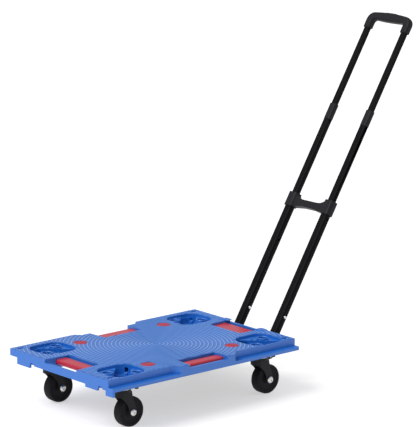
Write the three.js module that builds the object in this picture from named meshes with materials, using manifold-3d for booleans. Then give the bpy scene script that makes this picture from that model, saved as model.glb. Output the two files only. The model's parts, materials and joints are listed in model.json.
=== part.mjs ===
// Platform trolley: a moulded coupling deck on four swivel castors, with a telescopic pull handle.
// Units are millimetres. +X points to the handle end, +Z points up, and the origin is the centre of
// the deck's load face. The side at +Y has an overhanging lip, the side at -Y a flange: the lip of one
// deck rests on the flange of the next.

import * as THREE from "three";
import { mergeVertices } from "three/addons/utils/BufferGeometryUtils.js";
import Module from "manifold-3d";

const wasm = await Module();
wasm.setup();

// ---------------------------------------------------------------- driving dimensions

const gap = 0.3;                    // left between pieces that touch
const running = 0.15;               // radial clearance of a turning joint

// deck
const deckLength = 600;
const deckWidth = 400;              // over the lip and the flange
const shellDepth = 26;              // load face to the lower edge of the shell
const plateWall = 5;                // the load face's own thickness
const lipReach = 28;                // lip past the body, at +Y
const lipDepth = 17.5;
const flangeReach = 18;             // flange past the body, at -Y
const ribWall = 4;
const ribPitch = { x: 54, y: 41 };  // underside cells: as many as fit between the hand holes
const endCellLength = 56;           // two more cells beside each end hand hole
const recessWall = 7;               // end cell to recess

// coupling feet under the front skirt
const footWall = 6;
const feet = [                      // reaches measured in from the deck's side
  { side: 1, from: 28, to: 78, depth: 34 },
  { side: -1, from: 59, to: 105, depth: 33 },
  { side: -1, from: 0, to: 28, depth: 38 },
];
const skirtNotches = [{ side: 1, from: 81, to: 96 }, { side: -1, from: 40, to: 55 }];
const notchDepth = 20.5;
const cornerSlot = { x: 18, y: 6, fromEnd: 20, fromSide: 17.5 };

// hand holes and their grips
const midSpan = 172;                // stretch of a long side that steps in or out around its hand hole
const lipSetback = 15;
const holeToTube = 10;              // a hand hole's end to the plane of the handle tube beside it
const handHoleFlare = 4;            // each end widens by this much towards the edge
const endHoleDepth = 72;            // edge to inner side, at the two ends
const sideHoleDepth = { lip: 56, flange: 50 };
const rimWall = 8;
const rimDrop = { front: 8, rear: 4, lip: 10, flange: 8 };  // rim below the load face
const edgeBossSize = { width: 31, height: 2.5, length: 17 };
const gripWidth = { front: 35, rear: 54, lip: 40, flange: 30 };
const gripHeight = 12;
const gripRounding = 5;
const gripSeat = 14;                // each end reaches this far under the load plate
const gripInset = 4;                // hole's inner side to the grip

// anti-slip pads
const padRadius = 17.5;
const padThickness = 3;
const padProud = 0.5;
const padFromCastor = { x: 86.5, y: 6 };

// castors
const castorFrom = { end: 78.5, side: 63.5 };
const mountDrop = 36;               // load face to the castors' mounting faces
const wheelToCrown = 15.1;          // free height between a wheel and its fork's crown
const padMargin = 4;                // deck's pad past the castor's plate, all round
const plateEdge = 9;                // a bolt's centre to the plate's edge
const plateThick = 2.5;
const boltSpacing = { x: 58, y: 40 };
const boltHead = { radius: 6.5, height: 5 };
const wheelRadius = 37.5;
const wheelWidth = 26.5;
const tyreShoulder = 3.5;
const hubRadius = 27;
const hubProud = 1.5;               // hub past the tyre, on each side
const bossRadius = 9;
const hubSides = 18;
const tyreSides = 32;               // even, so that a corner is lowest when the axle is at rest
const trail = 21;                   // swivel axis to axle, towards the handle end
const crownRadius = 22.5;
const crownThick = 7;
const raceThick = 3.5;
const kingpinRadius = 6;
const kingpinHead = { radius: 10, height: 4 };
const legThick = 2.5;
const legToHub = 0.5;
const legFoot = 11.5;               // leg's rounding about the axle
const legTop = { back: -12.5, front: 20, depth: 14 };
const webThick = 3;
const webDepth = 12;
const axleRadius = 4;
const axleHead = { radius: 8.7, height: 5, socket: 3.4, socketDepth: 3 };
const axleNutRadius = 7.5;

// nesting recess over each castor
const dish = { x: 102, y: 94, corner: 30, depth: 9, fromSide: 3 };
const basin = { x: 88, y: 72, corner: 22, depth: 18.5 };
const wellRadius = 27;
const wellDepth = 24;
const recessBoss = { radius: 8, height: 8 };
const windowSize = { width: 9, low: -18, high: -7, reach: 34 };

// handle: places along it are measured from the pivot
const lean = 31.5;                  // degrees from upright as it stands in use
const pivotFrom = { end: 9, top: 62 };  // pivot past the deck's end, and below its load face
const tubeToPad = 36.5;             // a tube's middle to the pad of the castor beside it
const outerTube = { x: 18.5, y: 24.5, corner: 6, wall: 1.5 };
const stageClearance = 0.5;         // between one tube and the next
const stageWall = 1.3;
const gripStart = 903;              // lower ends of the handgrip's sleeves
const gripTop = 951;
const yoke = { start: 385, end: 423, x: 25, y: 31, corner: 8, bridge: 17, sag: 14 };
const collar = { start: 637, end: 680, proud: 0.6 };
const rimLength = 8;                // stretch of yoke and collar that closes on the next tube
const overlap = { middle: 75, inner: 60 };
const guideLength = { middle: 24, inner: 20 };
const guideSpigot = 10;
const grip = {
  x: 19, sleeve: 22.5, bar: 20, outerCorner: 23, innerCorner: 8, rounding: 5, arch: 3, socket: 25,
};
const button = { length: 36, width: 12, height: 8, proud: 0.8, travel: 3 };
const rivet = { place: 100, radius: 2, head: 4, headHeight: 2 };
const lockHole = { radius: 3.2, lipSide: 291, flangeSide: 373.5, catch: 632 };

// bracket that carries the handle
const bracketWall = 3;
const crossStrip = 28;              // its strip between the arms, clear of the rear hand hole
const stripToHole = 2;
const earLength = 54;               // along the deck, up to its end
const earRadius = 14;
const knee = { radius: 15, width: 26, top: 18, spigotEnd: 112 };
const pivot = { radius: 5, headRadius: 9, headHeight: 6 };
const armBoltFromEnd = 36;
const stripBoltOffset = 3;          // strip's outer bolts, outside the tubes' planes

// ---------------------------------------------------------------- derived sizes

const deckEnd = deckLength / 2;
const deckSide = deckWidth / 2;
const bodyY = { lip: deckSide - lipReach, flange: -(deckSide - flangeReach) };
const castorTop = -mountDrop;
const castorPlace = { x: deckEnd - castorFrom.end, y: deckSide - castorFrom.side };
const padPlace = { x: castorPlace.x - padFromCastor.x, y: castorPlace.y - padFromCastor.y };
const pivotPlace = { x: deckEnd + pivotFrom.end, z: -pivotFrom.top };
const plateLength = boltSpacing.x + 2 * plateEdge;
const plateWidth = boltSpacing.y + 2 * plateEdge;
const tubeSpacing = 2 * (castorPlace.y - plateWidth / 2 - padMargin - tubeToPad);
const handHoleLength = tubeSpacing - 2 * holeToTube;  // along the edge, on the inner side
const hubWidth = wheelWidth + 2 * hubProud;
const skirtTop = -shellDepth + 1;   // what hangs from the shell starts inside it
const crownDrop = plateThick + raceThick + crownThick + 3 * gap;
const axleDrop = crownDrop + wheelToCrown + wheelRadius;

// ---------------------------------------------------------------- solids

function toSolid(geometry) {
  const bare = geometry.clone();
  bare.deleteAttribute("normal");
  bare.deleteAttribute("uv");
  const merged = mergeVertices(bare, 1e-4);
  return new wasm.Manifold(new wasm.Mesh({
    numProp: 3,
    vertProperties: new Float32Array(merged.attributes.position.array),
    triVerts: new Uint32Array(merged.index.array),
  }));
}

function toGeometry(solid) {
  const mesh = solid.getMesh();
  const geometry = new THREE.BufferGeometry();
  geometry.setAttribute("position", new THREE.BufferAttribute(new Float32Array(mesh.vertProperties), 3));
  geometry.setIndex(new THREE.BufferAttribute(new Uint32Array(mesh.triVerts), 1));
  geometry.computeVertexNormals();
  return geometry;
}

const joined = (solids) => solids.reduce((whole, next) => whole.add(next));
const without = (solid, cuts) => cuts.reduce((left, cut) => left.subtract(cut), solid);

// A box between two corners, given as pairs in any order.
function block(xs, ys, zs) {
  const [x, y, z] = [xs, ys, zs].map(([a, b]) => ({ size: Math.abs(b - a), middle: (a + b) / 2 }));
  const geometry = new THREE.BoxGeometry(x.size, y.size, z.size);
  geometry.translate(x.middle, y.middle, z.middle);
  return toSolid(geometry);
}

// An outline in the XY plane, raised from one height to another.
function slab(shape, low, high) {
  const geometry = new THREE.ExtrudeGeometry(shape, {
    depth: high - low, bevelEnabled: false, curveSegments: 2,
  });
  geometry.translate(0, 0, low);
  return toSolid(geometry);
}

// An outline in the XZ plane, thickened along Y.
function sideSheet(shape, from, to) {
  const geometry = new THREE.ExtrudeGeometry(shape, {
    depth: to - from, bevelEnabled: false, curveSegments: 4,
  });
  geometry.rotateX(Math.PI / 2);
  geometry.translate(0, to, 0);
  return toSolid(geometry);
}

// An outline in the YZ plane, thickened evenly about x = 0, with rounded edges if asked.
function frontSheet(shape, thickness, rounding = 0) {
  const geometry = new THREE.ExtrudeGeometry(shape, {
    depth: thickness - 2 * rounding,
    bevelEnabled: rounding > 0,
    bevelThickness: rounding,
    bevelSize: rounding,
    bevelOffset: -rounding,
    bevelSegments: 2,
    curveSegments: 3,
  });
  geometry.translate(0, 0, -thickness / 2 + rounding);
  geometry.rotateY(Math.PI / 2);
  geometry.rotateX(Math.PI / 2);
  return toSolid(geometry);
}

const outline = (points) => new THREE.Shape(points.map(([a, b]) => new THREE.Vector2(a, b)));

function roundedBox(width, height, radius) {
  const x = width / 2 - radius;
  const y = height / 2 - radius;
  const shape = new THREE.Shape();
  shape.absarc(x, y, radius, 0, Math.PI / 2);
  shape.absarc(-x, y, radius, Math.PI / 2, Math.PI);
  shape.absarc(-x, -y, radius, Math.PI, Math.PI * 1.5);
  shape.absarc(x, -y, radius, Math.PI * 1.5, Math.PI * 2);
  return shape;
}

// A cylinder along the named axis, from one place on it to another.
function rod(radius, axis, from, to, centre = [0, 0, 0], sides = 16) {
  const geometry = new THREE.CylinderGeometry(radius, radius, to - from, sides);
  geometry.translate(0, (from + to) / 2, 0);
  if (axis === "z") geometry.rotateX(Math.PI / 2);
  if (axis === "x") geometry.rotateZ(-Math.PI / 2);
  geometry.translate(...centre);
  return toSolid(geometry);
}

const hexagon = (radius, axis, from, to, centre) => rod(radius, axis, from, to, centre, 6);

// A ring: [radius, place along Y] points, closed and turned about the Y axis.
function turned(profile, sides) {
  const points = [...profile, profile[0]].map(([radius, place]) => new THREE.Vector2(radius, place));
  return toSolid(new THREE.LatheGeometry(points, sides));
}

// ---------------------------------------------------------------- pieces

const look = (color, roughness, metalness = 0) =>
  new THREE.MeshStandardMaterial({ color, roughness, metalness });

const looks = {
  deck: look(0x3f6fc8, 0.45),
  red: look(0xc93a42, 0.5),
  black: look(0x1d1d1f, 0.5),
  tube: look(0x2a2a2c, 0.35, 0.6),
  rubber: look(0x19191a, 0.8),
  zinc: look(0xc8c9cc, 0.3, 0.9),
};

const trolley = new THREE.Group();

function addPiece(parent, name, solid, material) {
  const mesh = new THREE.Mesh(toGeometry(solid), material);
  mesh.name = name;
  parent.add(mesh);
}

const ends = [{ name: "front", x: -1 }, { name: "rear", x: 1 }];
const sides = [{ name: "flange", y: -1 }, { name: "lip", y: 1 }];
const corners = ends.flatMap((end) => sides.map((side) => ({
  name: `${end.name}_${side.name}`, x: end.x, y: side.y, side: side.name,
})));

// ---------------------------------------------------------------- hand holes and grips

// Each hand hole is drawn at the +X end and then turned into place about the deck's centre.
const handHoles = [
  { name: "rear", turn: 0, edge: deckEnd, depth: endHoleDepth },
  { name: "lip", turn: 90, edge: deckSide - lipSetback, depth: sideHoleDepth.lip },
  { name: "front", turn: 180, edge: deckEnd, depth: endHoleDepth },
  { name: "flange", turn: 270, edge: deckSide, depth: sideHoleDepth.flange },
];

function handHoleCut(hole) {
  const inner = hole.edge - hole.depth;
  const outer = hole.edge + 1;
  const narrow = handHoleLength / 2;
  const wide = narrow + handHoleFlare * (outer - inner) / hole.depth;
  const shape = outline([[inner, -narrow], [outer, -wide], [outer, wide], [inner, narrow]]);
  return slab(shape, -shellDepth - 1, 1).rotate(0, 0, hole.turn);
}

function handHoleRim(hole) {
  const half = handHoleLength / 2 + handHoleFlare + 2;
  return block([hole.edge - rimWall, hole.edge], [-half, half], [-shellDepth, -rimDrop[hole.name]])
    .rotate(0, 0, hole.turn);
}

// A grip lies under the load plate's level, with both ends in the seats.
const gripHalf = handHoleLength / 2 + gripSeat;
const gripMiddle = (hole) => hole.edge - hole.depth + gripInset + gripWidth[hole.name] / 2;

function handGrip(hole) {
  return sideSheet(roundedBox(gripWidth[hole.name], gripHeight, gripRounding), -gripHalf, gripHalf)
    .translate(gripMiddle(hole), 0, -plateWall - gap - gripHeight / 2)
    .rotate(0, 0, hole.turn);
}

function gripSeatCut(hole) {
  const half = gripHalf + gap;
  const middle = gripMiddle(hole);
  const across = gripWidth[hole.name] / 2 + gap;
  return block([middle - across, middle + across], [-half, half],
    [-plateWall - gripHeight - 2 * gap, -plateWall]).rotate(0, 0, hole.turn);
}

// ---------------------------------------------------------------- deck

function deckShell() {
  const half = midSpan / 2;
  const step = flangeReach * 0.8;
  const stepBack = deckSide - lipSetback;
  const body = slab(outline([
    [-deckEnd, bodyY.flange], [-half - step, bodyY.flange], [-half, -deckSide],
    [half, -deckSide], [half + step, bodyY.flange], [deckEnd, bodyY.flange],
    [deckEnd, bodyY.lip], [-deckEnd, bodyY.lip],
  ]), -shellDepth, 0);
  const lip = slab(outline([
    [-deckEnd, bodyY.lip - 1], [deckEnd, bodyY.lip - 1], [deckEnd, deckSide], [half + step, deckSide],
    [half, stepBack], [-half, stepBack], [-half - step, deckSide], [-deckEnd, deckSide],
  ]), -lipDepth, 0);
  const lipWall = block([-half, half], [bodyY.lip - 1, stepBack], [-shellDepth, -lipDepth + 1]);
  const flange = block([-deckEnd, deckEnd], [-deckSide, bodyY.flange + 1], [-shellDepth, -lipDepth]);
  return joined([body, lip, lipWall, flange]);
}

function castorPadBlock(corner) {
  const half = { x: plateLength / 2 + padMargin, y: plateWidth / 2 + padMargin };
  return block([-half.x, half.x], [-half.y, half.y], [castorTop, skirtTop])
    .translate(corner.x * castorPlace.x, corner.y * castorPlace.y, 0);
}

// A low rounded boss on the rear edge, in front of a handle tube.
function edgeBoss(side) {
  const shape = new THREE.Shape();
  shape.moveTo(-edgeBossSize.width / 2, -1);
  shape.absellipse(0, 0, edgeBossSize.width / 2, edgeBossSize.height, Math.PI, 0, true);
  shape.lineTo(edgeBossSize.width / 2, -1);
  return frontSheet(shape, edgeBossSize.length)
    .translate(deckEnd - edgeBossSize.length / 2, side.y * tubeSpacing / 2, 0);
}

function recess(corner) {
  const outerWall = Math.abs(bodyY.flange) - dish.fromSide;
  const bowl = slab(roundedBox(dish.x, dish.y, dish.corner), -dish.depth, 1)
    .translate(0, corner.y * (outerWall - dish.y / 2 - castorPlace.y), 0);
  const floor = slab(roundedBox(basin.x, basin.y, basin.corner), -basin.depth, 0);
  const bosses = [-1, 1].flatMap((x) => [-1, 1].map((y) => rod(
    recessBoss.radius, "z", -basin.depth - 1, -basin.depth + recessBoss.height,
    [x * boltSpacing.x / 2, y * boltSpacing.y / 2, 0], 12,
  )));
  const well = rod(wellRadius, "z", -wellDepth, 0);
  const window = block([0, windowSize.reach], [-windowSize.width / 2, windowSize.width / 2],
    [windowSize.low, windowSize.high])
    .rotate(0, 0, Math.atan2(-corner.y, -corner.x) * 180 / Math.PI)
    .translate(-corner.x * (basin.x - basin.corner) / 2, -corner.y * (basin.y - basin.corner) / 2, 0);
  return without(joined([bowl, floor, well]), bosses)
    .add(window)
    .translate(corner.x * castorPlace.x, corner.y * castorPlace.y, 0);
}

// Cells hang in a grid about the deck's centre, with a longer pair at each end between the recesses.
function undersideCells() {
  const endWall = 2 * ribWall;
  const reach = {
    x: deckEnd - endHoleDepth - endWall - endCellLength - ribWall / 2,
    y: deckSide - lipSetback - sideHoleDepth.lip - 1.5 * ribWall,
  };
  const count = { x: Math.floor(2 * reach.x / ribPitch.x), y: Math.floor(2 * reach.y / ribPitch.y) };
  const endCellWidth = Math.abs(bodyY.flange) - dish.fromSide - dish.y - recessWall - ribWall / 2;
  const cells = [];
  const cell = (x, y, length, width) => cells.push(block(
    [x - length / 2, x + length / 2], [y - width / 2, y + width / 2], [-shellDepth - 1, -plateWall],
  ));
  for (let i = 0; i < count.x; i += 1) {
    for (let j = 0; j < count.y; j += 1) {
      const x = (i - (count.x - 1) / 2) * ribPitch.x;
      const y = (j - (count.y - 1) / 2) * ribPitch.y;
      cell(x, y, ribPitch.x - ribWall, ribPitch.y - ribWall);
    }
  }
  const endX = deckEnd - endHoleDepth - endWall - endCellLength / 2;
  for (const end of ends) {
    for (const side of sides) {
      cell(end.x * endX, side.y * (endCellWidth + ribWall) / 2, endCellLength, endCellWidth);
    }
  }
  return cells;
}

const inFrom = ({ side, from, to }) => [side * (deckSide - from), side * (deckSide - to)];

function frontFeet() {
  return feet.map((foot) => block(
    [-deckEnd, -deckEnd + footWall], inFrom(foot), [-foot.depth, skirtTop],
  ));
}

function skirtCuts() {
  return skirtNotches.map((notch) => block(
    [-deckEnd - 1, -deckEnd + footWall], inFrom(notch), [-shellDepth - 1, -notchDepth],
  ));
}

function cornerSlotCut(corner) {
  const side = corner.side === "lip" ? deckSide : Math.abs(bodyY.flange);
  return slab(roundedBox(cornerSlot.x, cornerSlot.y, cornerSlot.y * 0.4), -plateWall, 1).translate(
    corner.x * (deckEnd - cornerSlot.fromEnd), corner.y * (side - cornerSlot.fromSide), 0,
  );
}

function padPocket(corner) {
  return rod(padRadius + gap, "z", -(padThickness - padProud + gap), 1,
    [corner.x * padPlace.x, corner.y * padPlace.y, 0], 24);
}

function deck() {
  const solid = joined([
    deckShell(), ...corners.map(castorPadBlock), ...frontFeet(), ...sides.map(edgeBoss),
  ]);
  const opened = without(solid, [
    ...handHoles.map(handHoleCut),
    ...handHoles.map(gripSeatCut),
    ...corners.map(recess),
    ...corners.map(cornerSlotCut),
    ...corners.map(padPocket),
    ...undersideCells(),
    ...skirtCuts(),
  ]);
  return joined([opened, ...handHoles.map(handHoleRim)]);
}

addPiece(trolley, "deck", deck(), looks.deck);
for (const hole of handHoles) addPiece(trolley, `hand_grip_${hole.name}`, handGrip(hole), looks.red);
for (const corner of corners) {
  const bottom = -(padThickness - padProud);
  const place = [corner.x * padPlace.x, corner.y * padPlace.y, 0];
  const pad = rod(padRadius, "z", bottom, padProud, place, 24);
  addPiece(trolley, `anti_slip_pad_${corner.name}`, pad, looks.red);
}

// ---------------------------------------------------------------- castors

// Heights here are measured down from the castor's mounting face, on its swivel axis.
const raceTop = -(plateThick + 2 * gap);
const crownBottom = -crownDrop;
const crownTop = crownBottom + crownThick;
const legInner = hubWidth / 2 + legToHub;
const legOuter = legInner + legThick;
const pinEnd = crownBottom - gap - kingpinHead.height;

function castorPlate() {
  const plate = slab(roundedBox(plateLength, plateWidth, 6), -plateThick - gap, -gap);
  const heads = [-1, 1].flatMap((x) => [-1, 1].map((y) => hexagon(
    boltHead.radius, "z", -plateThick - gap - boltHead.height, -plateThick,
    [x * boltSpacing.x / 2, y * boltSpacing.y / 2, 0],
  )));
  return joined([plate, ...heads]);
}

function castorKingpin() {
  const race = rod(crownRadius - 1, "z", raceTop - raceThick, raceTop);
  const stem = rod(kingpinRadius, "z", pinEnd, raceTop);
  const head = rod(kingpinHead.radius, "z", pinEnd, pinEnd + kingpinHead.height);
  return joined([race, stem, head]);
}

function forkLeg() {
  const top = crownBottom + 2;
  const shape = new THREE.Shape();
  shape.moveTo(legTop.back, top);
  shape.lineTo(legTop.back, crownBottom - legTop.depth);
  shape.quadraticCurveTo(trail - legFoot, -axleDrop + 2 * legFoot, trail - legFoot, -axleDrop);
  shape.absarc(trail, -axleDrop, legFoot, Math.PI, Math.PI * 2);
  shape.lineTo(legTop.front, crownBottom - legTop.depth);
  shape.lineTo(legTop.front - 3, top);
  return shape;
}

function castorFork() {
  const crown = rod(crownRadius, "z", crownBottom, crownTop, [0, 0, 0], 24);
  const legs = [[-legOuter, -legInner], [legInner, legOuter]]
    .map(([from, to]) => sideSheet(forkLeg(), from, to));
  const webLow = crownBottom - webDepth;
  const web = rod(crownRadius - 1, "z", webLow, crownBottom + 1, [0, 0, 0], 24)
    .subtract(rod(crownRadius - 1 - webThick, "z", webLow - 1, crownBottom + 2, [0, 0, 0], 24))
    .subtract(block([legTop.back + legThick, crownRadius], [-crownRadius, crownRadius],
      [webLow - 1, crownBottom + 2]));
  return without(joined([crown, ...legs, web]), [
    rod(kingpinRadius + running, "z", crownBottom - 1, crownTop + 1),
    rod(axleRadius + running, "y", -legOuter - 1, legOuter + 1, [trail, 0, -axleDrop]),
  ]);
}

// The bolt's head is on the flange side, its end stands out of the nut.
function castorAxle() {
  const seat = legOuter + gap;
  const face = -seat - axleHead.height;
  const shank = rod(axleRadius, "y", -seat - 1, seat + axleHead.height + 2);
  const head = rod(axleHead.radius, "y", face, -seat);
  const socket = hexagon(axleHead.socket, "y", face - 1, face + axleHead.socketDepth);
  return head.add(shank).subtract(socket);
}

function castorNut() {
  const seat = legOuter + gap;
  return hexagon(axleNutRadius, "y", seat, seat + axleHead.height)
    .subtract(rod(axleRadius + gap, "y", seat - 1, seat + axleHead.height + 1));
}

function castorHub() {
  const half = hubWidth / 2;
  const bore = axleRadius + running;
  const face = wheelWidth / 2 - 4;
  return turned([
    [bore, -half], [bossRadius, -half], [bossRadius, -face], [hubRadius, -face - 2],
    [hubRadius, face + 2], [bossRadius, face], [bossRadius, half], [bore, half],
  ], hubSides);
}

function castorTyre() {
  const half = wheelWidth / 2;
  const inner = (hubRadius + gap) / Math.cos(Math.PI / tyreSides);
  const shoulder = wheelRadius - tyreShoulder;
  return turned([
    [inner, -half + 1.5], [shoulder, -half], [wheelRadius, -half + tyreShoulder],
    [wheelRadius, half - tyreShoulder], [shoulder, half], [inner, half - 1.5],
  ], tyreSides);
}

for (const corner of corners) {
  const castor = new THREE.Group();
  castor.position.set(corner.x * castorPlace.x, corner.y * castorPlace.y, castorTop);
  const wheel = new THREE.Group();
  wheel.position.set(trail, 0, -axleDrop);
  castor.add(wheel);
  trolley.add(castor);
  const named = (piece) => `castor_${piece}_${corner.name}`;
  addPiece(castor, named("plate"), castorPlate(), looks.black);
  addPiece(castor, named("kingpin"), castorKingpin(), looks.zinc);
  addPiece(castor, named("fork"), castorFork(), looks.black);
  addPiece(wheel, named("axle"), castorAxle(), looks.zinc);
  addPiece(wheel, named("nut"), castorNut(), looks.zinc);
  addPiece(wheel, named("hub"), castorHub(), looks.black);
  addPiece(wheel, named("tyre"), castorTyre(), looks.rubber);
}

// ---------------------------------------------------------------- handle bracket

const tubeY = tubeSpacing / 2;
const earInner = knee.width / 2 + gap;
const earOuter = earInner + bracketWall;
const bracketTop = -shellDepth - gap;
const bracketBottom = bracketTop - bracketWall;
const bracketHalf = tubeY + earOuter;
const stripEnd = deckEnd - endHoleDepth - stripToHole;
const bracketBolts = [-1, 0, 1].map((side) => [stripEnd - crossStrip / 2, side * (tubeY + stripBoltOffset)])
  .concat([-1, 1].map((side) => [deckEnd - armBoltFromEnd, side * tubeY]));

function bracket() {
  const strip = block([stripEnd - crossStrip, stripEnd], [-bracketHalf, bracketHalf],
    [bracketBottom, bracketTop]);
  const arms = [-1, 1].map((side) => block(
    [stripEnd - crossStrip, deckEnd], [side * (tubeY - earOuter), side * bracketHalf],
    [bracketBottom, bracketTop],
  ));
  const ear = outline([
    [deckEnd - earLength, bracketTop - 0.5], [deckEnd, bracketTop - 0.5],
    [pivotPlace.x + earRadius, pivotPlace.z + 2],
    [pivotPlace.x, pivotPlace.z - earRadius], [pivotPlace.x - earRadius + 2, pivotPlace.z - 7],
  ]);
  const hinge = [pivotPlace.x, 0, pivotPlace.z];
  const walls = [[earInner, earOuter], [-earOuter, -earInner]];
  const ears = [-1, 1].flatMap((side) => walls.map(([from, to]) => (
    sideSheet(ear, side * tubeY + from, side * tubeY + to)
      .add(rod(earRadius, "y", side * tubeY + from, side * tubeY + to, hinge))
  )));
  const heads = bracketBolts.map(([x, y]) => hexagon(
    boltHead.radius, "z", bracketBottom - boltHead.height, bracketBottom + 1, [x, y, 0],
  ));
  const bore = rod(pivot.radius + running, "y", -bracketHalf - 1, bracketHalf + 1, hinge);
  return joined([strip, ...arms, ...ears, ...heads]).subtract(bore);
}

function pivotBolt() {
  const seat = bracketHalf + gap;
  return rod(pivot.radius, "y", -seat - 1, seat + pivot.headHeight + 2)
    .add(rod(pivot.headRadius, "y", -seat - pivot.headHeight, -seat));
}

function pivotNut() {
  const seat = bracketHalf + gap;
  return hexagon(pivot.headRadius, "y", seat, seat + pivot.headHeight)
    .subtract(rod(pivot.radius + gap, "y", seat - 1, seat + pivot.headHeight + 1));
}

addPiece(trolley, "handle_bracket", bracket(), looks.black);
const pivotAxis = new THREE.Group();
pivotAxis.position.set(pivotPlace.x, 0, pivotPlace.z);
trolley.add(pivotAxis);
addPiece(pivotAxis, "handle_pivot_bolt", pivotBolt(), looks.zinc);
addPiece(pivotAxis, "handle_pivot_nut", pivotNut(), looks.zinc);

// ---------------------------------------------------------------- handle

// Each tube's outer section is the last one's bore less the clearance.
const smaller = (section, by) => ({
  x: section.x - 2 * by, y: section.y - 2 * by, corner: Math.max(section.corner - by, 1.5),
});
const grown = (section, by) => smaller(section, -by);
const boreOf = (section) => smaller(section, section.wall);
const nextTube = (section) => ({ ...smaller(boreOf(section), stageClearance), wall: stageWall });
const middleTube = nextTube(outerTube);
const innerTube = nextTube(middleTube);

const prism = (section, from, to) => slab(roundedBox(section.x, section.y, section.corner), from, to);
const tube = (section, from, to) => prism(section, from, to)
  .subtract(prism(boreOf(section), from - 1, to + 1));

const outerEnds = [knee.top + gap, yoke.end - rimLength - gap];
const middleEnds = [yoke.end - overlap.middle, collar.end - rimLength - gap];
const innerEnds = [collar.end - overlap.inner, gripStart + grip.socket - gap];

function kneePiece() {
  const spigot = smaller(boreOf(outerTube), gap);
  const shoulder = { ...outerTube, corner: 4 };
  const barrel = rod(knee.radius, "y", -knee.width / 2, knee.width / 2, [0, 0, 0], 24);
  const whole = joined([barrel, prism(shoulder, 0, knee.top), prism(spigot, knee.top - 1, knee.spigotEnd)]);
  return without(whole, [
    rod(pivot.radius + running, "y", -knee.width, knee.width),
    rod(rivet.radius + gap, "y", -outerTube.y, 6 - outerTube.y / 2, [0, 0, rivet.place], 12),
  ]);
}

function outerTubePiece(lockPlace) {
  return without(tube(outerTube, ...outerEnds), [
    rod(rivet.radius + gap, "y", -outerTube.y, 0, [0, 0, rivet.place], 12),
    rod(lockHole.radius, "y", -outerTube.y, 0, [0, 0, lockPlace], 16),
  ]);
}

const middleTubePiece = () => tube(middleTube, ...middleEnds)
  .subtract(rod(lockHole.radius, "y", -middleTube.y, 0, [0, 0, lockHole.catch], 16));

function rivetPiece() {
  const face = -(outerTube.y / 2 + gap);
  return rod(rivet.radius, "y", face - 0.5, 5 - outerTube.y / 2, [0, 0, 0], 12)
    .add(rod(rivet.head, "y", face - rivet.headHeight, face, [0, 0, 0], 16));
}

// A sleeve over the end of one tube, closing on the tube that slides out of it.
function sleeveCut(around, through, start, end) {
  return joined([
    prism(grown(around, gap), start - 1, end - rimLength),
    prism(grown(through, stageClearance), start, end + 1),
  ]);
}

function yokePiece() {
  const inner = tubeY - yoke.y / 2 + 3;
  const low = yoke.end - yoke.sag;
  const arch = new THREE.Shape();
  arch.moveTo(-inner, yoke.start + 1);
  arch.quadraticCurveTo(0, yoke.start + 11, inner, yoke.start + 1);
  arch.lineTo(inner, yoke.end - 1);
  arch.quadraticCurveTo(inner - yoke.sag / 2, low, inner - 2 * yoke.sag, low);
  arch.lineTo(-inner + 2 * yoke.sag, low);
  arch.quadraticCurveTo(-inner + yoke.sag / 2, low, -inner, yoke.end - 1);
  const sleeves = [-tubeY, tubeY].map((y) => prism(yoke, yoke.start, yoke.end).translate(0, y, 0));
  const bore = sleeveCut(outerTube, middleTube, yoke.start, yoke.end);
  const cuts = [-tubeY, tubeY].map((y) => bore.translate(0, y, 0));
  return without(joined([frontSheet(arch, yoke.bridge), ...sleeves]), cuts);
}

const collarPiece = () => prism(grown(middleTube, collar.proud), collar.start, collar.end)
  .subtract(sleeveCut(middleTube, innerTube, collar.start, collar.end));

// A plastic slide under a tube's lower end, running in the tube outside it.
function guidePiece(inside, carrier, start, length) {
  return prism(smaller(inside, gap), start - gap - length, start - gap)
    .add(prism(smaller(boreOf(carrier), gap), start - gap - 1, start + guideSpigot));
}

function handgrip() {
  const half = tubeY + grip.sleeve / 2;
  const inner = tubeY - grip.sleeve / 2;
  const shoulder = gripTop - grip.arch;
  const under = shoulder - grip.bar;
  const shape = new THREE.Shape();
  shape.moveTo(-half, gripStart);
  shape.lineTo(-inner, gripStart);
  const inside = grip.innerCorner;
  const outside = grip.outerCorner;
  shape.absarc(-inner + inside, under - inside, inside, Math.PI, Math.PI / 2, true);
  shape.quadraticCurveTo(0, under + grip.arch * 2, inner - inside, under);
  shape.absarc(inner - inside, under - inside, inside, Math.PI / 2, 0, true);
  shape.lineTo(inner, gripStart);
  shape.lineTo(half, gripStart);
  shape.absarc(half - outside, shoulder - outside, outside, 0, Math.PI / 2);
  shape.quadraticCurveTo(0, shoulder + grip.arch * 2, -half + outside, shoulder);
  shape.absarc(-half + outside, shoulder - outside, outside, Math.PI / 2, Math.PI);
  const sockets = [-tubeY, tubeY].map((y) => (
    prism(grown(innerTube, gap), gripStart - 1, gripStart + grip.socket).translate(0, y, 0)
  ));
  const pocketFloor = gripTop + button.proud - button.height - button.travel - gap;
  const pocket = block([-button.width / 2 - gap, button.width / 2 + gap],
    [-button.length / 2 - gap, button.length / 2 + gap], [pocketFloor, gripTop + 5]);
  return without(frontSheet(shape, grip.x, grip.rounding), [...sockets, pocket]);
}

const handle = new THREE.Group();
handle.position.copy(pivotAxis.position);
handle.rotation.y = THREE.MathUtils.degToRad(lean);
trolley.add(handle);

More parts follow.
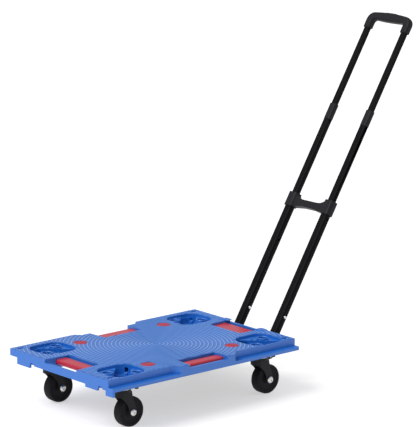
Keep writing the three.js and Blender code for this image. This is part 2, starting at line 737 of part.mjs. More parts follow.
for (const side of sides) {
  const leg = new THREE.Group();
  leg.position.y = side.y * tubeY;
  handle.add(leg);
  const lockPlace = side.name === "lip" ? lockHole.lipSide : lockHole.flangeSide;
  const rivetSeat = new THREE.Group();
  rivetSeat.position.z = rivet.place;
  leg.add(rivetSeat);
  addPiece(leg, `handle_knee_${side.name}`, kneePiece(), looks.black);
  addPiece(leg, `handle_outer_tube_${side.name}`, outerTubePiece(lockPlace), looks.tube);
  addPiece(rivetSeat, `handle_rivet_${side.name}`, rivetPiece(), looks.zinc);
  addPiece(leg, `handle_middle_tube_${side.name}`, middleTubePiece(), looks.tube);
  addPiece(leg, `handle_middle_guide_${side.name}`,
    guidePiece(boreOf(outerTube), middleTube, middleEnds[0], guideLength.middle), looks.black);
  addPiece(leg, `handle_collar_${side.name}`, collarPiece(), looks.black);
  addPiece(leg, `handle_inner_tube_${side.name}`, tube(innerTube, ...innerEnds), looks.tube);
  addPiece(leg, `handle_inner_guide_${side.name}`,
    guidePiece(boreOf(middleTube), innerTube, innerEnds[0], guideLength.inner), looks.black);
}
addPiece(handle, "handle_yoke", yokePiece(), looks.black);
addPiece(handle, "handle_grip", handgrip(), looks.black);
addPiece(handle, "handle_release_button", block(
  [-button.width / 2, button.width / 2], [-button.length / 2, button.length / 2],
  [gripTop + button.proud - button.height, gripTop + button.proud],
), looks.black);

export default trolley;
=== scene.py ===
import json
import math

import bmesh
import bpy
from mathutils import Euler, Matrix, Vector


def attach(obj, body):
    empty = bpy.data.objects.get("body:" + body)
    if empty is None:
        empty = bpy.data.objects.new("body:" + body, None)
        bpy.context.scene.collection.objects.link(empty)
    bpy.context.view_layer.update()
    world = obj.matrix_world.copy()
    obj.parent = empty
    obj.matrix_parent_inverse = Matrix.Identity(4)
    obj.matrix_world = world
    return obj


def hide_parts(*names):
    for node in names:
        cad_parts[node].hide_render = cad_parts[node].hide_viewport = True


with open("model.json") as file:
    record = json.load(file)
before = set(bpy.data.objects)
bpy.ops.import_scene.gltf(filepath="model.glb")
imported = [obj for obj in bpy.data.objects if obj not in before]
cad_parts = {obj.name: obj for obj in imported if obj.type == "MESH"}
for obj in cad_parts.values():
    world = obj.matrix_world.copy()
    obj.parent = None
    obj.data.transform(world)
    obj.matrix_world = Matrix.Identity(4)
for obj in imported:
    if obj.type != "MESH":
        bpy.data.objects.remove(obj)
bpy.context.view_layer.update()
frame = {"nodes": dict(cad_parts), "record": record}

# Platform trolley. Lengths below are in millimetres and become metres where a mesh is made.
# +X is the handle end, +Y the side with the coupling lip, and the load face lies at z = 0.

MM = 0.001
SIDES = {"flange": -1, "lip": 1}
ENDS = {"front": -1, "rear": 1}
CORNERS = {f"{end}_{side}": (x, y) for end, x in ENDS.items() for side, y in SIDES.items()}

DECK_END, DECK_SIDE, BODY_LIP, BODY_FLANGE = 300, 200, 172, -182
MID_SPAN, LIP_SETBACK, STEP, FLANGE_TOP = 172, 15, 14.4, -17.5
HOLE_LENGTH, HOLE_FLARE = 114, 4
HAND_HOLES = {  # turn about the deck's centre, edge, depth, width of the grip
    "rear": (0, 300, 72, 54),
    "lip": (90, 185, 56, 40),
    "front": (180, 300, 72, 35),
    "flange": (270, 200, 50, 30),
}
GRIP_HEIGHT, GRIP_TOP, GRIP_SEAT, GRIP_INSET, GRIP_CROWN = 12, -5.3, 14, 4, 1.5
PAD_PLACE, PAD_RADIUS, PAD_PROUD = (135, 130.5), 17.5, 0.5
CASTOR_PLACE, MOUNT, TRAIL, AXLE_DROP = (221.5, 136.5), -36, 21, 66.5
PLATE, BOLTS = (76, 58, 2.5), (29, 20)
WHEEL_RADIUS, WHEEL_HALF, HUB_RADIUS, HUB_HALF = 37.5, 13.25, 27, 14.75
LEG_OUTER = 17.75
DISH, DISH_OFFSET_SIDE = (102, 94, 30), 179
FLOOR_LEVEL = -140
LEAN = math.radians(31.5)
PIVOT = Vector((309, 0, -62))
TUBE_Y = 67
INNER_TUBE = (12.3, 18.3)


# ---------------------------------------------------------------- modelling helpers

def mm(*values):
    return Vector(values) * MM


def only(obj):
    bpy.ops.object.select_all(action="DESELECT")
    obj.select_set(True)
    bpy.context.view_layer.objects.active = obj
    return obj


def edit(obj):
    only(obj)
    bpy.ops.object.mode_set(mode="EDIT")
    bpy.ops.mesh.select_all(action="SELECT")


def done():
    bpy.ops.object.mode_set(mode="OBJECT")
    return bpy.context.object


def pick(obj, chosen, kind="VERT"):
    """In edit mode, selects only the vertices, edges or faces that the test holds for."""
    bpy.ops.mesh.select_mode(type=kind)
    bpy.ops.mesh.select_all(action="DESELECT")
    sheet = bmesh.from_edit_mesh(obj.data)
    group = {"VERT": sheet.verts, "EDGE": sheet.edges, "FACE": sheet.faces}[kind]
    for item in group:
        if chosen(item):
            item.select_set(True)
    sheet.select_flush_mode()
    bmesh.update_edit_mesh(obj.data)


def settle(obj):
    """Puts the object at the origin, with its place in its mesh."""
    only(obj)
    bpy.ops.object.transform_apply(location=True, rotation=True, scale=True)
    return obj


def box(xs, ys, zs):
    """A box between two corners, in millimetres."""
    low = Vector((min(xs), min(ys), min(zs)))
    high = Vector((max(xs), max(ys), max(zs)))
    bpy.ops.mesh.primitive_cube_add(size=1, location=(low + high) / 2 * MM)
    obj = bpy.context.object
    obj.scale = (high - low) * MM
    return settle(obj)


def cylinder(radius, low, high, axis="Z", at=(0, 0, 0), sides=32):
    """A cylinder along Z or Y, from low to high along that axis."""
    turn = {"Z": (0, 0, 0), "Y": (-math.pi / 2, 0, 0)}[axis]
    along = {"Z": Vector((0, 0, 1)), "Y": Vector((0, 1, 0))}[axis]
    middle = Vector(at) + along * (low + high) / 2
    bpy.ops.mesh.primitive_cylinder_add(
        vertices=sides, radius=radius * MM, depth=(high - low) * MM, location=middle * MM, rotation=turn)
    return settle(bpy.context.object)


def loop_of(points, filled):
    """A closed chain of vertices through the points, in millimetres."""
    bpy.ops.mesh.primitive_circle_add(vertices=len(points), fill_type="NGON" if filled else "NOTHING")
    obj = bpy.context.object
    for vertex, point in zip(obj.data.vertices, points):
        vertex.co = Vector(point) * MM
    return obj


def outlined(points, reach):
    """A flat outline pushed out along a vector into a solid."""
    obj = loop_of(points, True)
    edit(obj)
    bpy.ops.mesh.extrude_region_move(TRANSFORM_OT_translate={"value": Vector(reach) * MM})
    bpy.ops.mesh.select_all(action="SELECT")
    bpy.ops.mesh.normals_make_consistent(inside=False)
    return done()


def spun(profile, steps=64, axis=(0, 1, 0), centre=(0, 0, 0)):
    """A closed profile of (radius, place along the axis) turned into a ring."""
    if axis[1]:
        points = [(radius + centre[0], place + centre[1], centre[2]) for radius, place in profile]
    else:
        points = [(radius + centre[0], centre[1], place + centre[2]) for radius, place in profile]
    obj = loop_of(points, False)
    edit(obj)
    bpy.ops.mesh.spin(steps=steps, angle=2 * math.pi, center=mm(*centre), axis=axis)
    bpy.ops.mesh.select_all(action="SELECT")
    bpy.ops.mesh.remove_doubles(threshold=0.02 * MM)
    bpy.ops.mesh.dissolve_degenerate(threshold=0.01 * MM)
    bpy.ops.mesh.delete_loose(use_faces=False)
    bpy.ops.mesh.select_all(action="SELECT")
    bpy.ops.mesh.normals_make_consistent(inside=False)
    return done()


def arc(x, y, radius, start, end, steps=8):
    span = [math.radians(start + (end - start) * i / steps) for i in range(steps + 1)]
    return [(x + radius * math.cos(a), y + radius * math.sin(a)) for a in span]


def rounded(width, height, radius, steps=8):
    x, y = width / 2 - radius, height / 2 - radius
    return (arc(x, y, radius, 0, 90, steps) + arc(-x, y, radius, 90, 180, steps)
            + arc(-x, -y, radius, 180, 270, steps) + arc(x, -y, radius, 270, 360, steps))


def slab(points, low, high, at=(0, 0)):
    return outlined([(x + at[0], y + at[1], low) for x, y in points], (0, 0, high - low))


def modified(obj, kind, **settings):
    only(obj)
    step = obj.modifiers.new("step", kind)
    for key, value in settings.items():
        setattr(step, key, value)
    bpy.ops.object.modifier_apply(modifier=step.name)
    return obj


def boolean(obj, tool, operation):
    modified(obj, "BOOLEAN", object=tool, operation=operation, solver="EXACT")
    bpy.data.objects.remove(tool)
    return obj


def without(obj, *tools):
    for tool in tools:
        boolean(obj, tool, "DIFFERENCE")
    return obj


def together(*parts):
    bpy.ops.object.select_all(action="DESELECT")
    for part in parts:
        part.select_set(True)
    bpy.context.view_layer.objects.active = parts[0]
    if len(parts) > 1:
        bpy.ops.object.join()
    return bpy.context.object


def edges_rounded(obj, width, segments=2, angle=30):
    return modified(
        obj, "BEVEL", width=width * MM, segments=segments, limit_method="ANGLE",
        angle_limit=math.radians(angle), use_clamp_overlap=True, miter_outer="MITER_ARC")


def smoothed(obj, angle=32):
    only(obj)
    bpy.ops.object.shade_smooth_by_angle(angle=math.radians(angle))
    return modified(obj, "WEIGHTED_NORMAL", keep_sharp=True)


def moved(obj, matrix):
    only(obj)
    obj.matrix_world = matrix @ obj.matrix_world
    return settle(obj)


def copied(obj):
    only(obj)
    bpy.ops.object.duplicate()
    return bpy.context.object


def from_cad(node):
    """A merged copy of a node, with its flat faces whole again."""
    obj = copied(frame["nodes"][node])
    bpy.ops.mesh.customdata_custom_splitnormals_clear()
    edit(obj)
    bpy.ops.mesh.remove_doubles(threshold=0.01 * MM)
    bpy.ops.mesh.mark_sharp(clear=True)
    bpy.ops.mesh.dissolve_limited(angle_limit=math.radians(0.6))
    return done()


def placed(obj, name, body, slot, stands_for=(), angle=32, finish=None):
    """Names a finished piece, gives it its finish and hangs it on its body."""
    settle(obj)
    smoothed(obj, angle)
    obj.name = obj.data.name = name
    obj.data.materials.clear()
    obj.data.materials.append(FINISHES[finish or slot])
    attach(obj, body)
    if stands_for:
        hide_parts(*stands_for)
    return obj


# ---------------------------------------------------------------- finishes

class Value:
    """One output of a node. Arithmetic on it adds Math nodes."""

    def __init__(self, sheet, socket):
        self.sheet, self.socket = sheet, socket

    def maths(self, operation, first, second=0.0):
        return self.sheet.node("ShaderNodeMath", {"operation": operation}, {0: first, 1: second})

    def __add__(self, other):
        return self.maths("ADD", self, other)

    def __radd__(self, other):
        return self.maths("ADD", other, self)

    def __sub__(self, other):
        return self.maths("SUBTRACT", self, other)

    def __rsub__(self, other):
        return self.maths("SUBTRACT", other, self)

    def __mul__(self, other):
        return self.maths("MULTIPLY", self, other)

    def __rmul__(self, other):
        return self.maths("MULTIPLY", other, self)

    def clipped(self):
        return self.sheet.node("ShaderNodeClamp", {}, {"Value": self})


class Finish:
    """The nodes of one material, around its Principled shader."""

    def __init__(self, name, **fixed):
        self.material = bpy.data.materials.new(name)
        self.material.use_nodes = True
        self.tree = self.material.node_tree
        self.shader = self.tree.nodes["Principled BSDF"]
        for key, value in fixed.items():
            self.shader.inputs[key.replace("_", " ")].default_value = value
        self.place = self.node("ShaderNodeTexCoord", {}, {}, "Object")

    def node(self, kind, settings, sockets, output=0):
        made = self.tree.nodes.new(kind)
        for key, value in settings.items():
            if key == "stops":
                ramp = made.color_ramp
                while len(ramp.elements) < len(value):
                    ramp.elements.new(0.5)
                for element, (position, level) in zip(ramp.elements, value):
                    element.position, element.color = position, (level, level, level, 1)
            else:
                setattr(made, key, value)
        for key, value in sockets.items():
            if isinstance(value, Value):
                self.tree.links.new(value.socket, made.inputs[key])
            else:
                made.inputs[key].default_value = value
        return Value(self, made.outputs[output])

    def noise(self, scale, detail=3.0, stretch=(1, 1, 1), turn=(0, 0, 0), **more):
        where = self.node(
            "ShaderNodeMapping", {}, {"Vector": self.place, "Scale": stretch, "Rotation": turn})
        return self.node(
            "ShaderNodeTexNoise", {}, {"Vector": where, "Scale": scale, "Detail": detail, **more})

    def ramp(self, value, *stops):
        return self.node("ShaderNodeValToRGB", {"stops": stops}, {"Fac": value})

    def mix(self, amount, first, second):
        """Mixes two colours."""
        pair = {key: (value if isinstance(value, Value) else (*value, 1))
                for key, value in ((6, first), (7, second))}
        return self.node("ShaderNodeMix", {"data_type": "RGBA"}, {0: amount, **pair}, 2)

    def height(self, value, distance, under=None):
        sockets = {"Height": value, "Strength": 1.0, "Distance": distance * MM}
        if under is not None:
            sockets["Normal"] = under
        return self.node("ShaderNodeBump", {}, sockets, "Normal")

    def feed(self, **inputs):
        for key, value in inputs.items():
            self.tree.links.new(value.socket, self.shader.inputs[key.replace("_", " ")])
        return self.material


def tone(colour, factor):
    return tuple(min(channel * factor, 1) for channel in colour)


def moulded(name, colour, rough, scuff, specular=0.5, crest=None):
    """Moulded plastic: faint flow marks, a fine spark-eroded grain, rubbed and dusty places.

    With a crest height, what stands that far up is painted paler, a painted highlight that also stands for
    wear, and its foot is painted darker as a painted shade.
    """
    f = Finish(name, Specular_IOR_Level=specular)
    flow = f.noise(9, 4)
    patches = f.noise(28, 5, Distortion=0.6)
    specks = f.ramp(f.noise(260, 6), (0.60, 0.0), (0.74, 1.0))
    rubs = f.ramp(f.noise(55, 5, stretch=(5, 0.8, 1), turn=(0, 0, 0.5)), (0.58, 0.0), (0.72, 1.0))
    cross = f.ramp(f.noise(55, 5, stretch=(0.7, 6, 1), turn=(0, 0, -0.3)), (0.60, 0.0), (0.75, 1.0))
    worn = (rubs + cross) * scuff
    pale = tuple(0.85 * c + 0.07 for c in colour)
    base = f.mix(flow, tone(colour, 0.92), tone(colour, 1.06))
    base = f.mix(patches * 0.25, base, tone(colour, 1.14))
    base = f.mix((worn * 0.5 + specks * scuff * 0.4).clipped(), base, pale)
    roughness = rough - 0.05 + flow * 0.08 + patches * 0.05 + worn * 0.18
    if crest:
        height = f.node("ShaderNodeSeparateXYZ", {}, {"Vector": f.place}, "Z") * (1 / (crest * MM))
        # Painted shade: the foot of each ridge is darkened towards tone 0.30.
        foot = f.ramp(height, (0.10, 1.0), (0.75, 0.0))
        top = f.ramp(height, (0.80, 0.0), (0.98, 1.0))
        base = f.mix(foot * 0.85, base, tone(colour, 0.30))
        # Painted highlight: the crest is painted a paler blue (0.125, 0.300, 0.690), partly also as wear.
        base = f.mix(top * (0.75 + patches * 0.25), base, (0.125, 0.300, 0.690))
        roughness = roughness - top * 0.08
    grain = f.height(f.noise(1500, 2), 0.045)
    relief = f.height(f.noise(45, 3) - worn * 0.3, 0.10, grain)
    return f.feed(Base_Color=base, Roughness=roughness.clipped(), Normal=relief)


def rubbery(name, colour, rough, dust, specular=0.35):
    """Rubber: matt and pebbled, with dust held in its grain."""
    f = Finish(name, Specular_IOR_Level=specular)
    patches = f.noise(30, 5, Distortion=0.4)
    powder = f.ramp(f.noise(420, 5), (0.50, 0.0), (0.78, 1.0))
    base = f.mix(patches, tone(colour, 0.85), tone(colour, 1.2))
    base = f.mix((powder * patches * dust).clipped(), base, tuple(0.9 * c + 0.07 for c in colour))
    roughness = rough + patches * 0.12 - powder * 0.05
    pebbles = f.height(f.noise(1100, 3), 0.06)
    marks = f.height(f.noise(120, 4), 0.08, pebbles)
    return f.feed(Base_Color=base, Roughness=roughness.clipped(), Normal=marks)


def coated(name, colour, rough, specular):
    """Powder coat on steel: orange peel, and small chips down to a greyer primer."""
    f = Finish(name, Specular_IOR_Level=specular)
    peel = f.noise(420, 2)
    cloud = f.noise(16, 4)
    chips = f.ramp(f.noise(170, 6, Distortion=0.8), (0.70, 0.0), (0.735, 1.0))
    base = f.mix(cloud, tone(colour, 0.8), tone(colour, 1.25))
    base = f.mix(chips * 0.6, base, (0.07, 0.07, 0.075))
    roughness = rough + cloud * 0.10 + chips * 0.15
    skin = f.height(peel, 0.09)
    pits = f.height(1 - chips, 0.05, skin)
    return f.feed(Base_Color=base, Roughness=roughness.clipped(), Normal=pits)


def anodised(name, colour, rough):
    """Drawn aluminium tube, black anodised: long fine die lines and faint rubbed streaks."""
    f = Finish(name, Specular_IOR_Level=0.07)
    lengthwise = {"turn": (0, -LEAN, 0)}
    lines = f.noise(60, 3, stretch=(16, 16, 0.35), **lengthwise)
    streaks = f.ramp(f.noise(26, 5, stretch=(9, 9, 0.5), **lengthwise), (0.55, 0.0), (0.75, 1.0))
    cloud = f.noise(12, 3)
    base = f.mix(cloud, tone(colour, 0.85), tone(colour, 1.2))
    base = f.mix(streaks * 0.45, base, tone(colour, 4.0))
    roughness = rough + lines * 0.10 + cloud * 0.06 - streaks * 0.04
    drawn = f.height(lines, 0.02)
    return f.feed(Base_Color=base, Roughness=roughness.clipped(), Normal=drawn)


def plated(name, colour, rough):
    """Zinc plate: cloudy passivation and fine turning marks."""
    f = Finish(name, Metallic=1.0)
    cloud = f.noise(160, 4, Distortion=0.5)
    specks = f.ramp(f.noise(900, 4), (0.62, 0.0), (0.75, 1.0))
    base = f.mix(cloud, colour, tuple(c * k for c, k in zip(colour, (0.92, 0.90, 0.80))))
    base = f.mix(specks * 0.4, base, tone(colour, 0.45))
    roughness = rough + cloud * 0.18 + specks * 0.15
    marks = f.height(f.noise(1300, 2), 0.012)
    return f.feed(Base_Color=base, Roughness=roughness.clipped(), Normal=marks)


def pale_floor():
    """A light table: white, and partly lit from within, so that shadows on it stay soft."""
    f = Finish("studio_floor", Specular_IOR_Level=0.1, Emission_Strength=0.52)
    f.shader.inputs["Emission Color"].default_value = (1, 1, 1, 1)
    cloud = f.noise(1.5, 3)
    base = f.mix(cloud, (0.50, 0.50, 0.50), (0.52, 0.52, 0.52))
    return f.feed(Base_Color=base, Roughness=(0.8 + cloud * 0.1).clipped())


BLUE = (0.004, 0.120, 0.490)
FINISHES = {
    "deck_plastic": moulded("blue_moulded_plastic", BLUE, 0.38, 0.20, 0.75),
    # The ring finish carries a painted highlight on the ring crests and a painted shade at their feet.
    "ring_plastic": moulded("blue_ring_plastic_painted_light", BLUE, 0.36, 0.20, 0.75, crest=1.0),
    "red_grip": moulded("red_moulded_plastic", (0.420, 0.014, 0.038), 0.34, 0.14),
    "red_pad": rubbery("red_rubber", (0.335, 0.022, 0.050), 0.50, 0.30),
    "castor_steel": coated("black_powder_coat", (0.011, 0.011, 0.012), 0.42, 0.16),
    "zinc": plated("zinc_plate", (0.72, 0.73, 0.75), 0.20),
    "wheel_centre": moulded("black_wheel_plastic", (0.0100, 0.0098, 0.0118), 0.50, 0.05, 0.12),
    "tyre": rubbery("black_rubber", (0.0095, 0.0092, 0.0108), 0.62, 0.20, 0.12),
    "handle_plastic": moulded("black_handle_plastic", (0.0095, 0.0090, 0.0120), 0.44, 0.05, 0.14),
    "handle_tube": anodised("black_anodised_tube", (0.0022, 0.0021, 0.0030), 0.38),
}


# ---------------------------------------------------------------- deck

def hole_outline(name, grow=0.0, past=2.0):
    turn, edge, depth, _ = HAND_HOLES[name]
    inner, outer = edge - depth - grow, edge + past
    narrow = HOLE_LENGTH / 2 + grow
    wide = narrow + HOLE_FLARE
    return turn, [(inner, -narrow), (outer, -wide), (outer, wide), (inner, narrow)]


def deck_outline(inset=0.0):
    half, back = MID_SPAN / 2, DECK_SIDE - LIP_SETBACK
    i = inset
    return [
        (-DECK_END + i, BODY_FLANGE + i), (-half - STEP - i, BODY_FLANGE + i), (-half - i, -DECK_SIDE + i),
        (half + i, -DECK_SIDE + i), (half + STEP + i, BODY_FLANGE + i), (DECK_END - i, BODY_FLANGE + i),
        (DECK_END - i, DECK_SIDE - i), (half + STEP + i, DECK_SIDE - i), (half + i, back - i),
        (-half - i, back - i), (-half - STEP - i, DECK_SIDE - i), (-DECK_END + i, DECK_SIDE - i),
    ]


def recess_frame(corner):
    """From a corner recess's own axes, x along the diagonal to the deck's middle, to the deck's."""
    x, y = CORNERS[corner]
    inward = math.atan2(-y, -x)
    middle = mm(x * CASTOR_PLACE[0], y * CASTOR_PLACE[1], 0)
    return Matrix.Translation(middle) @ Matrix.Rotation(inward, 4, "Z")


def dish_outline(corner, grow=0.0):
    x, y = CORNERS[corner]
    width, height, radius = DISH
    middle = (x * CASTOR_PLACE[0], y * (DISH_OFFSET_SIDE - height / 2))
    return [(px + middle[0], py + middle[1])
            for px, py in rounded(width + 2 * grow, height + 2 * grow, radius + grow)]


CHANNEL = 19          # half the width of the deep channel across each recess
CHANNEL_FLOOR = -23
SHELF = -6.5          # level of the shelves on both sides of it
SHELF_FOOT = -19.5
WELL = 11.5           # radius of the screw wells
WELL_FLOOR = -17
WEB_HALF, SILL_HALF = 1.1, 1.3
WEB_PLACES, SILL_PLACES = (-21, -7, 7, 21), (-24, 27)


def channel_cut(corner):
    """The deep channel along the diagonal, up to the recess's outline or the wall above the lip."""
    cut = moved(box((-70, 70), (-CHANNEL, CHANNEL), (CHANNEL_FLOOR, 1)), recess_frame(corner))
    boolean(cut, slab(dish_outline(corner, -1.5), -30, 5), "INTERSECT")
    return without(cut, box((-DECK_END, DECK_END), (BODY_LIP - 3.5, DECK_SIDE), (-30, 5)))


def screw_places(corner, on_shelves):
    """The castor's screws that lie under the two shelves, or the two along the channel."""
    x, y = CORNERS[corner]
    return [(x * CASTOR_PLACE[0] + i * BOLTS[0], y * CASTOR_PLACE[1] + j * BOLTS[1])
            for i in (-1, 1) for j in (-1, 1) if (i * j == -x * y) == on_shelves]


def recess_shelves(corner):
    """Raised shelves on both sides of the channel, with a collared well over each screw."""
    shelf = slab(dish_outline(corner, 1.0), SHELF_FOOT, SHELF)
    without(shelf, moved(box((-80, 80), (-CHANNEL, CHANNEL), (-30, 5)), recess_frame(corner)))
    for x, y in screw_places(corner, True):
        without(shelf, cylinder(WELL, WELL_FLOOR, 5, at=(x, y, 0), sides=40))
    edges_rounded(shelf, 1.0, 2)
    collars = [spun([(WELL, -19), (WELL + 2.6, -19), (WELL + 2.6, SHELF + 3.4), (WELL + 1.9, SHELF + 4.2),
                     (WELL + 0.8, SHELF + 4.2), (WELL, SHELF + 3.2)], 40, (0, 0, 1), (x, y, 0))
               for x, y in screw_places(corner, True)]
    return together(shelf, *collars)


def recess_ribs(corner):
    """Screw bosses, webs over the shelves, sills across the channel, a foot along the lip's wall."""
    made = []
    for on_shelves, top in ((True, -10.2), (False, -14.0)):
        boss = [(2.2, -24), (6.2, -24), (5.4, top - 0.6), (4.8, top), (3.0, top), (2.2, top - 1.2)]
        for x, y in screw_places(corner, on_shelves):
            made.append(spun(boss, 28, (0, 0, 1), (x, y, 0)))
    webs = [box((along - WEB_HALF, along + WEB_HALF), (side * CHANNEL, side * (CHANNEL + 18)),
                (-12, SHELF + 2.6)) for side in (-1, 1) for along in WEB_PLACES]
    sills = [box((along - SILL_HALF, along + SILL_HALF), (-CHANNEL, CHANNEL),
                 (CHANNEL_FLOOR - 0.5, -17.5)) for along in SILL_PLACES]
    made += [moved(edges_rounded(rib, 0.6), recess_frame(corner)) for rib in webs + sills]
    if CORNERS[corner][1] > 0:
        middle = CORNERS[corner][0] * CASTOR_PLACE[0]
        for ys, zs in (((BODY_LIP - 1.6, BODY_LIP - 0.05), (-19, -14)),
                       ((BODY_LIP - 0.5, BODY_LIP + 1.4), (-17.45, -14))):
            made.append(box((middle - 25, middle + 25), ys, zs))
    ribs = together(*made)
    return boolean(ribs, slab(dish_outline(corner, 0.8), -30, 5), "INTERSECT")


def moulded_deck():
    deck = from_cad("deck")
    without(deck, *[channel_cut(corner) for corner in CORNERS])
    edit(deck)
    bpy.ops.mesh.remove_doubles(threshold=0.01 * MM)
    bpy.ops.mesh.dissolve_limited(angle_limit=math.radians(0.6))
    near = lambda value, target: abs(value / MM - target) < 0.2
    upright = lambda e: near((e.verts[0].co.xy - e.verts[1].co.xy).length, 0)
    both = lambda e, test: test(e.verts[0].co) and test(e.verts[1].co)
    half = MID_SPAN / 2
    for radius, test in (
        (4.0, lambda e: upright(e) and both(e, lambda v: (
            near(v.y, -DECK_SIDE) and (near(abs(v.x), half) or near(abs(v.x), DECK_END))
            or near(v.y, BODY_FLANGE) and near(abs(v.x), half + STEP)))),
        (2.6, lambda e: both(e, lambda v: v.y / MM < -DECK_SIDE + 4.2 and near(v.z, FLANGE_TOP))),
    ):
        pick(deck, test, "EDGE")
        bpy.ops.mesh.bevel(offset=radius * MM, segments=4, affect="EDGES", clamp_overlap=True)
    done()
    edges_rounded(deck, 1.1, 2)
    return placed(deck, "moulded_deck", "platform", "deck_plastic", ["deck"])


RING_COUNT, RING_PITCH, RING_HALF, RING_HEIGHT = 35, 10, 2.3, 1.0


def anti_slip_rings():
    rings = []
    for number in range(1, RING_COUNT + 1):
        radius = number * RING_PITCH
        crown = RING_HALF * 0.45
        profile = [(radius - RING_HALF, -0.3), (radius - RING_HALF, 0.02), (radius - crown, RING_HEIGHT),
                   (radius + crown, RING_HEIGHT), (radius + RING_HALF, 0.02), (radius + RING_HALF, -0.3)]
        rings.append(spun(profile, 48 + 4 * number, (0, 0, 1)))
    rings = together(*rings)
    land = slab(deck_outline(2.5), -1, 3)
    for name in HAND_HOLES:
        turn, shape = hole_outline(name, 2.5, 6)
        without(land, moved(slab(shape, -3, 6), Matrix.Rotation(math.radians(turn), 4, "Z")))
    for corner, (x, y) in CORNERS.items():
        without(
            land,
            slab(dish_outline(corner, 3), -3, 6),
            cylinder(PAD_RADIUS + 1.2, -3, 6, at=(x * PAD_PLACE[0], y * PAD_PLACE[1], 0), sides=48),
            box((x * 266, x * 294), (y * (157 if y < 0 else 175), y * (172 if y < 0 else 190)), (-3, 6)),
        )
    boolean(rings, land, "INTERSECT")
    return placed(rings, "anti_slip_rings", "platform", "deck_plastic", angle=50, finish="ring_plastic")


def grip_bar(name):
    """A crowned bar that narrows to a tenon at each end."""
    turn, edge, depth, width = HAND_HOLES[name]
    half, seat = HOLE_LENGTH / 2, HOLE_LENGTH / 2 + GRIP_SEAT
    middle = edge - depth + GRIP_INSET + width / 2
    section = rounded(width, GRIP_HEIGHT, 4.8, 6)
    crown = [(x, z + (GRIP_CROWN * math.cos(math.pi * x / width) if z > 0 else 0)) for x, z in section]
    bar = outlined([(x, -seat, z) for x, z in crown], (0, 2 * seat, 0))
    edit(bar)
    for place in (-half - 3, half + 3):
        bpy.ops.mesh.select_all(action="SELECT")
        bpy.ops.mesh.bisect(plane_co=mm(0, place, 0), plane_no=(0, 1, 0))
    pick(bar, lambda v: abs(v.co.y) > seat * 0.999 * MM)
    bpy.ops.transform.resize(value=(0.93, 1, 0.78))
    bpy.ops.transform.translate(value=mm(0, 0, -1.1))
    done()
    edges_rounded(bar, 0.8, 2, 40)
    lowest = GRIP_TOP - GRIP_HEIGHT / 2
    moved(bar, Matrix.Rotation(math.radians(turn), 4, "Z") @ Matrix.Translation(mm(middle, 0, lowest)))
    return placed(bar, f"grip_bar_{name}", "platform", "red_grip", [f"hand_grip_{name}"])


def pad_disc(corner):
    """A let-in disc with a rounded rim and two shallow grooves in its top."""
    x, y = CORNERS[corner]
    r, top = PAD_RADIUS, PAD_PROUD
    profile = [(0, -2.5), (r, -2.5), (r, top - 0.7), (r - 0.5, top - 0.15), (r - 1.4, top)]
    for groove in (14.5, 8.5):
        profile += [(groove + 0.8, top + 0.05), (groove + 0.3, top - 0.4),
                    (groove - 0.3, top - 0.4), (groove - 0.8, top + 0.05)]
    profile.append((0, top + 0.1))
    disc = spun(profile, 56, (0, 0, 1), (x * PAD_PLACE[0], y * PAD_PLACE[1], 0))
    return placed(disc, f"pad_disc_{corner}", "platform", "red_pad", [f"anti_slip_pad_{corner}"])


moulded_deck()
anti_slip_rings()
for corner in CORNERS:
    placed(recess_shelves(corner), f"recess_shelves_{corner}", "platform", "deck_plastic")
    placed(recess_ribs(corner), f"recess_ribs_{corner}", "platform", "deck_plastic")
    pad_disc(corner)
for name in HAND_HOLES:
    grip_bar(name)


# ---------------------------------------------------------------- castors

# Modelled once about the swivel axis on the mounting face, then copied to each corner.

WHEEL_MIDDLE = (TRAIL, 0, -AXLE_DROP)
AXLE_SEAT = LEG_OUTER + 0.3     # where the bolt's head and the nut meet the fork's legs


def wheel_tyre():
    half, r = WHEEL_HALF, WHEEL_RADIUS
    side = [
        (HUB_RADIUS + 0.3, half - 1.6), (28.4, half - 0.5), (29.6, half - 0.3), (30.4, half - 1.0),
        (31.4, half - 0.3), (33.4, half), (35.2, half - 0.5), (36.5, half - 1.8), (37.2, half - 4),
        (r, 4.6),
    ]
    profile = [(radius, -place) for radius, place in side] + [(r, 0)] + side[::-1]
    return spun(profile, 72, centre=WHEEL_MIDDLE)


def wheel_centre():
    """A dished disc with a stepped rim and a raised boss."""
    half = HUB_HALF
    side = [
        (4.15, half - 0.4), (4.6, half), (8.2, half), (9.0, half - 0.7), (9.6, half - 4.7),
        (10.8, half - 5.5), (12.4, half - 5.7), (21.0, half - 4.9), (22.0, half - 3.9),
        (24.6, half - 3.6), (25.4, half - 2.9), (26.6, half - 2.9), (HUB_RADIUS, half - 3.3),
    ]
    profile = [(radius, -place) for radius, place in side] + side[::-1]
    return spun(profile, 72, centre=WHEEL_MIDDLE)


def axle_bolt():
    """Button head with a hexagon socket on one side, shank and threaded end on the other."""
    seat, at = AXLE_SEAT, WHEEL_MIDDLE
    head = [(0, 0.6), (4.0, 0.6), (4.0, 0), (8.7, 0), (8.7, 1.0), (8.4, 2.0), (7.5, 3.1), (6.2, 4.1),
            (4.9, 4.8), (4.2, 5.0), (0, 5.0)]
    bolt = spun([(radius, -seat - place) for radius, place in head], 48, centre=at)
    without(bolt, cylinder(3.1, -seat - 7, -seat - 2.2, "Y", at, 6))
    shank = [(0, -seat), (4.0, -seat), (4.0, seat + 5.6), (3.5, seat + 6.0), (3.9, seat + 6.4),
             (3.3, seat + 6.9), (0, seat + 6.9)]
    return together(bolt, spun(shank, 32, centre=at))


